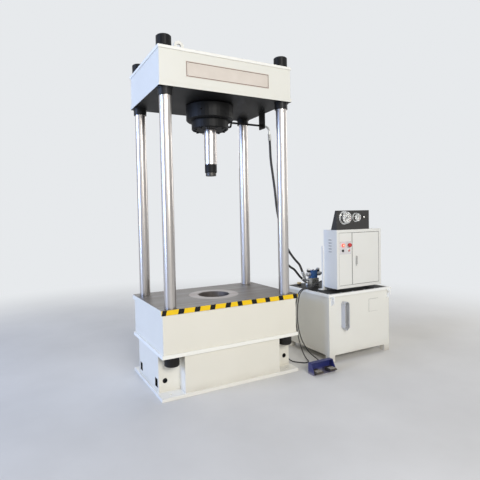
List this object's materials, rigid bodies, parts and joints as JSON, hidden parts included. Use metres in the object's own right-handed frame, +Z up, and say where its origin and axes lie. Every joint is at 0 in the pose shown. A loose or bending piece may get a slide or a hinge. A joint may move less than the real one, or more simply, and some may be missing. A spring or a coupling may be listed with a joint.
{
  "type": "hydraulic press",
  "caption": "Four-column hydraulic press: thick crown and bed on chromed columns, downstroke ram, oil tank with motor, valve and control cabinet, and a foot switch",
  "frame": {"origin": "on the floor under the middle of the press frame, on the axis of the ram", "axes": "+Z up; +X to the operator's right, towards the oil tank; -Y towards the operator"},
  "size_m": [2.621, 1.08, 3.0468],
  "materials": {
    "cream_paint": "satin enamel, warm off-white",
    "black_oxide": "semi-gloss black",
    "hard_chrome": "ground and hard chromed",
    "bright_steel": "bright turned steel",
    "zinc_plate": "zinc plated",
    "hose_rubber": "smooth black rubber",
    "blue_paint": "deep blue enamel",
    "grey_paint": "dark grey enamel",
    "red_plastic": "moulded",
    "lamp_plastic": "moulded, lit from behind",
    "gauge_glass": "clear flat glass"
  },
  "bodies": {
    "machine": {"base_frame": "cream_paint", "bed_frame": "cream_paint", "crown_frame": "cream_paint", "column_front_left": "hard_chrome", "column_front_right": "hard_chrome", "column_rear_left": "hard_chrome", "column_rear_right": "hard_chrome", "base_nut_front_left": "black_oxide", "base_nut_front_right": "black_oxide", "base_nut_rear_left": "black_oxide", "base_nut_rear_right": "black_oxide", "top_nut_front_left": "black_oxide", "top_nut_front_right": "black_oxide", "top_nut_rear_left": "black_oxide", "top_nut_rear_right": "black_oxide", "cylinder_barrel": "black_oxide", "cylinder_ring_nut": "black_oxide", "gland_ring": "black_oxide", "rod_port_pipe": "black_oxide", "cap_port_pipe": "zinc_plate", "rod_hose_upper_fitting": "zinc_plate", "rod_hose": "hose_rubber", "rod_hose_lower_fitting": "zinc_plate", "cap_hose": "hose_rubber", "cap_hose_lower_fitting": "zinc_plate", "tank_body": "cream_paint", "tank_cover": "black_oxide", "level_gauge": "bright_steel", "level_guard": "cream_paint", "motor_frame": "grey_paint", "fan_cowl": "black_oxide", "pump": "bright_steel", "manifold_block": "bright_steel", "valve_body": "blue_paint", "left_solenoid": "black_oxide", "right_solenoid": "black_oxide", "cabinet_stand": "cream_paint", "cabinet_body": "cream_paint", "control_rack": "grey_paint", "gauge_panel": "grey_paint", "main_gauge_case": "bright_steel", "main_gauge_glass": "gauge_glass", "oil_gauge_case": "bright_steel", "oil_gauge_glass": "gauge_glass", "foot_guard": "blue_paint", "foot_cable": "hose_rubber", "floor_cable": "hose_rubber"},
    "ram": {"ram": "hard_chrome", "rod_collar": "black_oxide"},
    "door": {"cabinet_door": "cream_paint"},
    "handle": {"door_handle": "bright_steel"},
    "start": {"start_button": "lamp_plastic"},
    "stop": {"stop_button": "red_plastic"},
    "selector": {"selector_knob": "black_oxide"},
    "main_needle": {"main_gauge_pointer": "black_oxide"},
    "oil_needle": {"oil_gauge_pointer": "black_oxide"},
    "rotor": {"motor_rotor": "bright_steel"},
    "filler": {"filler_cap": "bright_steel"},
    "left_foot": {"left_pedal": "black_oxide"},
    "right_foot": {"right_pedal": "black_oxide"}
  },
  "joints": [
    {"name": "ram_slide", "type": "slide", "parent": "machine", "child": "ram", "axis": [0, 0, -1], "range_m": [-0.3, 0.1]},
    {"name": "door_hinge", "type": "hinge", "parent": "machine", "child": "door", "pos_m": [1.8235, -0.3748, 1.0325], "axis": [0, 0, 1], "range_deg": [0, 115]},
    {"name": "handle_turn", "type": "hinge", "parent": "door", "child": "handle", "pos_m": [1.4945, -0.378, 1.052], "axis": [0, 1, 0], "range_deg": [0, 90]},
    {"name": "start_press", "type": "slide", "parent": "machine", "child": "start", "axis": [0, 1, 0], "range_m": [0, 0.004], "stiffness_N_per_m": 500, "springref_m": -0.002},
    {"name": "stop_press", "type": "slide", "parent": "machine", "child": "stop", "axis": [0, 1, 0], "range_m": [0, 0.006]},
    {"name": "selector_turn", "type": "hinge", "parent": "machine", "child": "selector", "pos_m": [1.306, -0.3803, 1.122], "axis": [0, 1, 0], "range_deg": [-45, 45]},
    {"name": "main_needle_turn", "type": "hinge", "parent": "machine", "child": "main_needle", "pos_m": [1.33, -0.38, 1.464], "axis": [0, 1, 0], "range_deg": [0, 270], "stiffness_Nm_per_rad": 0.002, "springref_deg": -34.38},
    {"name": "oil_needle_turn", "type": "hinge", "parent": "machine", "child": "oil_needle", "pos_m": [1.49, -0.38, 1.465], "axis": [0, 1, 0], "range_deg": [0, 270], "stiffness_Nm_per_rad": 0.002, "springref_deg": -34.38},
    {"name": "motor_spin", "type": "hinge", "parent": "machine", "child": "rotor", "pos_m": [1.62, 0.07, 0.7995], "axis": [0, 0, 1], "continuous": true},
    {"name": "filler_turn", "type": "hinge", "parent": "machine", "child": "filler", "pos_m": [1.185, 0.2, 0.7105], "axis": [0, 0, 1], "range_deg": [0, 60]},
    {"name": "left_pedal_press", "type": "hinge", "parent": "machine", "child": "left_foot", "pos_m": [0.7713, -0.545, 0.028], "axis": [1, 0, 0], "range_deg": [0, 8], "stiffness_Nm_per_rad": 4, "springref_deg": -11.46},
    {"name": "right_pedal_press", "type": "hinge", "parent": "machine", "child": "right_foot", "pos_m": [0.9341, -0.545, 0.028], "axis": [1, 0, 0], "range_deg": [0, 8], "stiffness_Nm_per_rad": 4, "springref_deg": -11.46}
  ]
}
